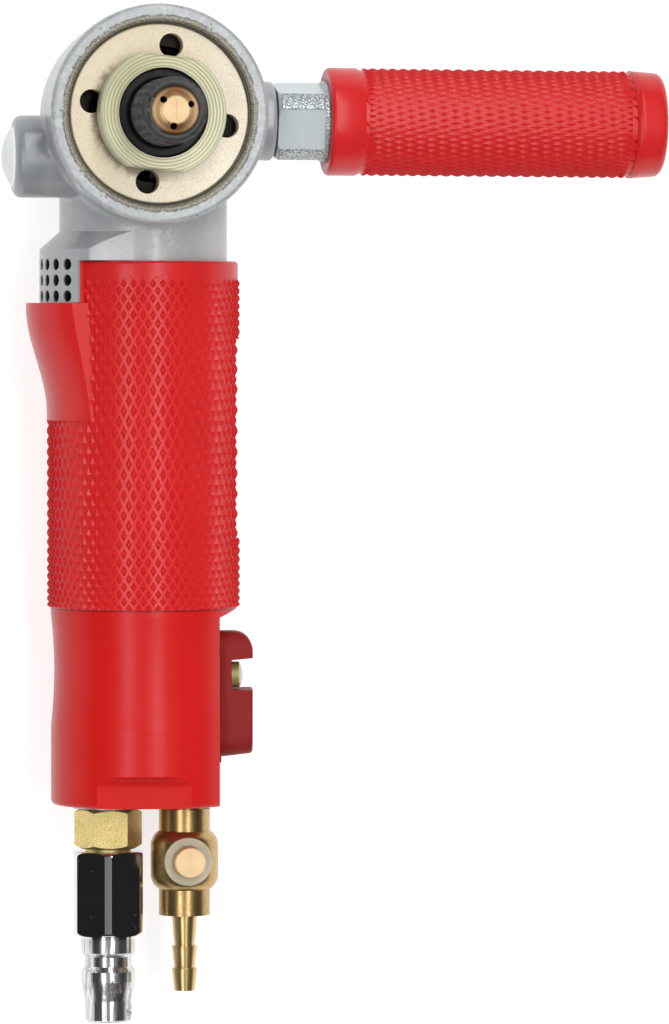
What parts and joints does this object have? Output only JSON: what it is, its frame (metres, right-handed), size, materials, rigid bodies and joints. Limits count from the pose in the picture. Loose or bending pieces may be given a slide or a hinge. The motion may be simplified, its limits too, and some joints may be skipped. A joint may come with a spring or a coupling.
{
  "type": "pneumatic wet polisher",
  "caption": "Angle-head air polisher: threaded spindle with a water nozzle, round grip with an exhaust guard, side handle, turn throttle, air plug and water valve.",
  "frame": {"origin": "on the spindle's axis, on the flange face that a pad seats against", "axes": "+Z along the spindle towards the pad, +Y from the handle towards the head, +X along the side handle"},
  "size_m": [0.1607, 0.2445, 0.0835],
  "materials": {
    "painted_casting": "satin silver-grey paint over a casting",
    "silver_cap": "smooth satin silver",
    "gold_zinc": "cream-gold zinc plate with dark specks",
    "green_zinc": "yellow-green zinc plate with lathe rings",
    "black_steel": "black oxide",
    "brass": "turned brass",
    "chrome": "bright chrome",
    "zinc_steel": "zinc plated bar",
    "screw_zinc": "yellow zinc",
    "red_rubber": "semi-gloss moulded rubber",
    "red_plastic": "gloss moulded",
    "dark_red_plastic": "satin moulded",
    "black_rubber": "matt",
    "white_nylon": "natural nylon",
    "washer_metal": "plain",
    "gasket_fibre": "fibre",
    "vane_composite": "phenolic cloth",
    "cast_plate": "ground",
    "gear_steel": "hardened and ground",
    "bearing_steel": "polished"
  },
  "bodies": {
    "housing": {"gear_housing": "painted_casting", "rear_cover": "painted_casting", "boss_cap": "silver_cap", "bearing_retainer": "gold_zinc", "cover_screws": "black_steel", "inlet_nipple": "brass", "water_valve_body": "brass", "hose_barb": "brass", "water_elbow": "brass", "water_tube": "brass", "throttle_bush": "brass", "air_plug": "chrome", "side_handle_stud": "zinc_steel", "grip_sleeve": "red_rubber", "side_handle_grip": "red_rubber", "inlet_housing": "red_plastic", "spindle_seal": "black_rubber", "feed_seal": "black_rubber", "inlet_ring": "black_rubber", "valve_bush_front": "white_nylon", "valve_bush_rear": "white_nylon", "inlet_washer": "washer_metal", "cover_gasket": "gasket_fibre", "front_end_plate": "cast_plate", "rear_end_plate": "cast_plate", "motor_cylinder": "cast_plate", "spindle_front_outer_race": "bearing_steel", "spindle_rear_outer_race": "bearing_steel", "rotor_front_outer_race": "bearing_steel", "rotor_rear_outer_race": "bearing_steel"},
    "spindle_unit": {"spindle": "black_steel", "spindle_flange": "green_zinc", "flange_seal": "black_rubber", "water_nozzle": "brass", "bevel_gear": "gear_steel", "gear_nut": "gear_steel", "spindle_front_inner_race": "bearing_steel", "spindle_rear_inner_race": "bearing_steel"},
    "rotor_unit": {"rotor": "gear_steel", "rotor_vanes": "vane_composite", "drive_pinion": "gear_steel", "rotor_front_inner_race": "bearing_steel", "rotor_rear_inner_race": "bearing_steel"},
    "spindle_ball_sets": {"spindle_front_balls": "bearing_steel", "spindle_rear_balls": "bearing_steel"},
    "rotor_ball_sets": {"rotor_front_balls": "bearing_steel", "rotor_rear_balls": "bearing_steel"},
    "throttle": {"throttle_stem": "brass", "throttle_lever": "dark_red_plastic", "throttle_screw": "screw_zinc", "throttle_leaf": "black_steel", "stem_rings": "black_rubber"},
    "water_spool": {"water_valve_spool": "brass", "spool_rings": "black_rubber"}
  },
  "joints": [
    {"name": "spindle_spin", "type": "hinge", "parent": "housing", "child": "spindle_unit", "pos_m": [0, 0, 0], "axis": [0, 0, 1], "continuous": true},
    {"name": "rotor_spin", "type": "hinge", "parent": "housing", "child": "rotor_unit", "pos_m": [0, 0, -0.038], "axis": [0, 1, 0], "continuous": true},
    {"name": "spindle_balls_roll", "type": "hinge", "parent": "housing", "child": "spindle_ball_sets", "pos_m": [0, 0, 0], "axis": [0, 0, 1], "continuous": true},
    {"name": "rotor_balls_roll", "type": "hinge", "parent": "housing", "child": "rotor_ball_sets", "pos_m": [0, 0, -0.038], "axis": [0, 1, 0], "continuous": true},
    {"name": "throttle_turn", "type": "hinge", "parent": "housing", "child": "throttle", "pos_m": [0, -0.1346, -0.038], "axis": [-0.9925, 0, -0.1219], "range_deg": [0, 90]},
    {"name": "water_valve_slide", "type": "slide", "parent": "housing", "child": "water_spool", "axis": [0, 0, -1], "range_m": [0, 0.0034]}
  ],
  "couplings": [
    {"joint": "rotor_spin", "follows": "spindle_spin", "ratio": 2.5},
    {"joint": "spindle_balls_roll", "follows": "spindle_spin", "ratio": 0.3816},
    {"joint": "rotor_balls_roll", "follows": "spindle_spin", "ratio": 0.9194}
  ]
}
